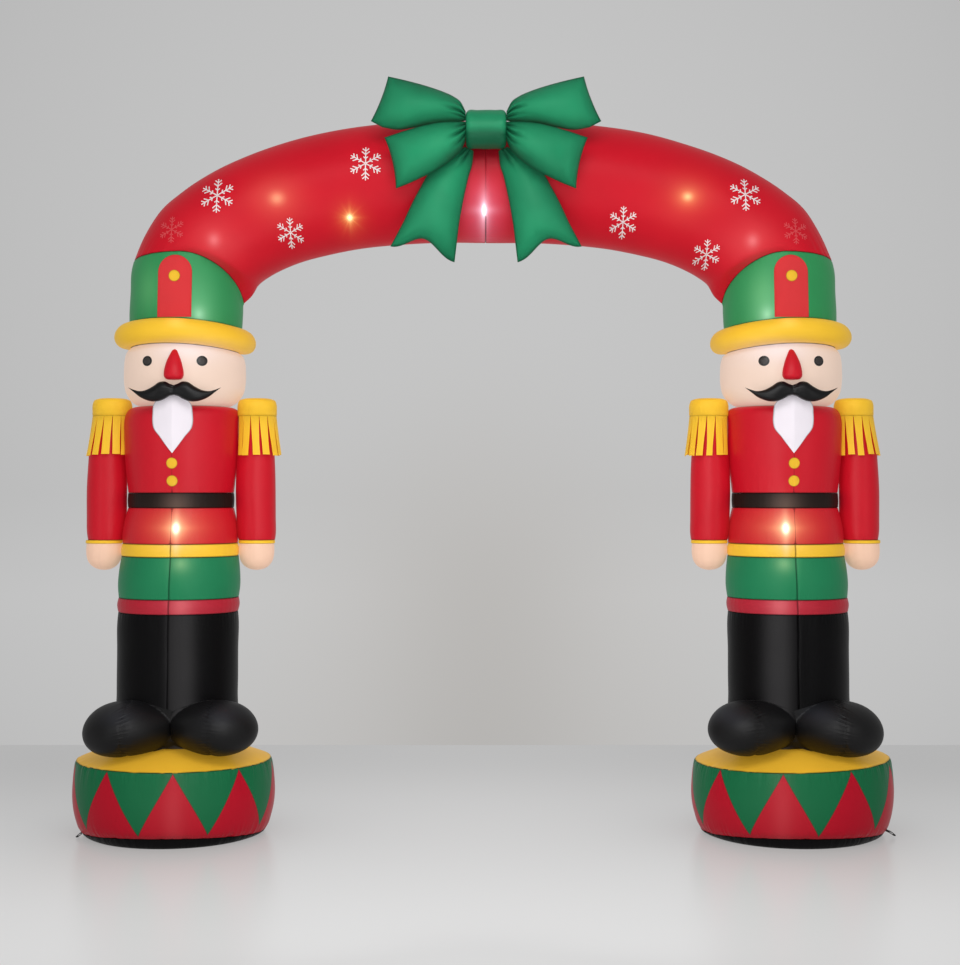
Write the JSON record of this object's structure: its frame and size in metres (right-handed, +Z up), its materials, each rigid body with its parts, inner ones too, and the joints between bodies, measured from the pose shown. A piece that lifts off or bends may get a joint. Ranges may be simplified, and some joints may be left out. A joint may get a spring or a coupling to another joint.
{
  "type": "inflatable archway",
  "caption": "Free-standing inflatable archway: two toy soldier columns on drums carry a curved tube with a bow at its crown.",
  "frame": {"origin": "on the floor, midway between the two drums", "axes": "+Z up, the soldiers face -Y, +X to the right as seen from in front"},
  "size_m": [3.0422, 0.7434, 2.7525],
  "materials": {
    "red_fabric": "thin red nylon, air filled, faint weave and soft sheen, lamps glow through it",
    "green_fabric": "thin green nylon, air filled, soft sheen",
    "bow_fabric": "green nylon with sewn pleats, soft sheen",
    "yellow_fabric": "thin warm yellow nylon, soft sheen",
    "cream_fabric": "thin pale cream nylon that glows from the lamp inside",
    "black_fabric": "black nylon with small sewn puckers, satin sheen",
    "belt_fabric": "near-black nylon band, satin sheen",
    "white_fabric": "flat white fabric with a fold down the middle",
    "drum_pattern": "green nylon side panel with red triangles pieced in, glossy",
    "base_vinyl": "heavy black coated base cloth, slightly glossy",
    "webbing": "black woven tether tab"
  },
  "bodies": {
    "root": {"left_drum_base": "base_vinyl", "left_drum_side": "drum_pattern", "left_drum_top": "yellow_fabric", "left_tether_strap": "webbing", "left_legs": "black_fabric", "left_foot_outer": "black_fabric", "left_foot_inner": "black_fabric", "left_red_band": "red_fabric", "left_green_band": "green_fabric", "left_yellow_band": "yellow_fabric", "left_skirt": "red_fabric", "left_belt": "belt_fabric", "left_tunic": "red_fabric", "left_sleeve_outer": "red_fabric", "left_sleeve_inner": "red_fabric", "left_hand_outer": "cream_fabric", "left_hand_inner": "cream_fabric", "left_epaulette_outer": "yellow_fabric", "left_epaulette_inner": "yellow_fabric", "left_head": "cream_fabric", "left_nose": "red_fabric", "left_moustache": "black_fabric", "left_beard": "white_fabric", "left_brim": "yellow_fabric", "left_hat": "green_fabric", "right_drum_base": "base_vinyl", "right_drum_side": "drum_pattern", "right_drum_top": "yellow_fabric", "right_tether_strap": "webbing", "right_legs": "black_fabric", "right_foot_outer": "black_fabric", "right_foot_inner": "black_fabric", "right_red_band": "red_fabric", "right_green_band": "green_fabric", "right_yellow_band": "yellow_fabric", "right_skirt": "red_fabric", "right_belt": "belt_fabric", "right_tunic": "red_fabric", "right_sleeve_outer": "red_fabric", "right_sleeve_inner": "red_fabric", "right_hand_outer": "cream_fabric", "right_hand_inner": "cream_fabric", "right_epaulette_outer": "yellow_fabric", "right_epaulette_inner": "yellow_fabric", "right_head": "cream_fabric", "right_nose": "red_fabric", "right_moustache": "black_fabric", "right_beard": "white_fabric", "right_brim": "yellow_fabric", "right_hat": "green_fabric", "arch_left": "red_fabric", "arch_right": "red_fabric", "bow_knot": "bow_fabric", "bow_upper_loop_left": "bow_fabric", "bow_upper_loop_right": "bow_fabric", "bow_lower_loop_left": "bow_fabric", "bow_lower_loop_right": "bow_fabric", "bow_tail_left": "bow_fabric", "bow_tail_right": "bow_fabric"}
  },
  "joints": []
}
